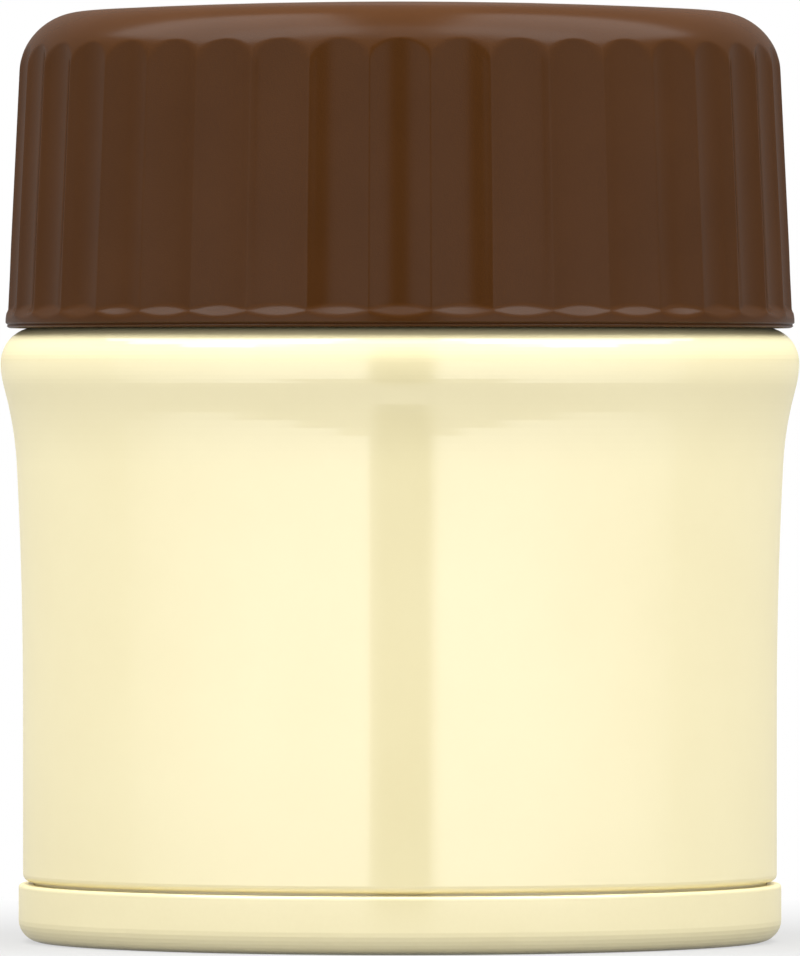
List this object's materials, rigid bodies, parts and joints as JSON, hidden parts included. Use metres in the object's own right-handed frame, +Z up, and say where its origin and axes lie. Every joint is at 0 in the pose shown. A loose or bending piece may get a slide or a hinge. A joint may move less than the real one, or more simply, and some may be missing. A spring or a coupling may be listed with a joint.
{
  "type": "insulated food jar",
  "caption": "Squat double-walled vacuum food jar with a flared painted shoulder, a base cup and a fluted screw-on lid with a sealing plug and vent.",
  "frame": {"origin": "on the table, at the centre of the base cup's foot ring", "axes": "+Z up along the jar's axis; the front, where one flute of the lid is centred, faces -Y"},
  "size_m": [0.09, 0.09, 0.1057],
  "materials": {
    "cream_paint": "gloss",
    "cream_plastic": "gloss",
    "brown_plastic": "satin",
    "dark_plastic": "satin",
    "neck_steel": "satin",
    "liner_steel": "satin",
    "sheet_steel": "satin",
    "bright_foil": "polished",
    "getter_metal": "matte",
    "solder_glass": "gloss",
    "adhesive": "matte",
    "foam": "matte",
    "silicone": "satin"
  },
  "bodies": {
    "jar": {"outer_shell": "cream_paint", "threaded_neck": "neck_steel", "inner_liner": "liner_steel", "reflective_foil": "bright_foil", "shell_bottom": "sheet_steel", "vacuum_seal": "solder_glass", "getter": "getter_metal", "getter_clip": "sheet_steel", "base_adhesive": "adhesive", "base_cup": "cream_plastic"},
    "plug": {"seal_plate": "dark_plastic", "seal_ring": "silicone"},
    "lid": {"lid_shell": "brown_plastic", "lid_collar": "dark_plastic", "lid_insulation": "foam"},
    "vent": {"vent_stem": "dark_plastic", "vent_gasket": "silicone"}
  },
  "joints": [
    {"name": "plate_lift", "type": "slide", "parent": "jar", "child": "plug", "axis": [0, 0, 1], "range_m": [0, 0.0226]},
    {"name": "lid_turn", "type": "hinge", "parent": "plug", "child": "lid", "pos_m": [0, 0, 0.07], "axis": [0, 0, 1], "range_deg": [0, 810]},
    {"name": "vent_pull", "type": "slide", "parent": "plug", "child": "vent", "axis": [0, 0, 1], "range_m": [0, 0.0015]}
  ],
  "couplings": [
    {"joint": "plate_lift", "follows": "lid_turn", "m_per_rad": 0.0015915}
  ]
}
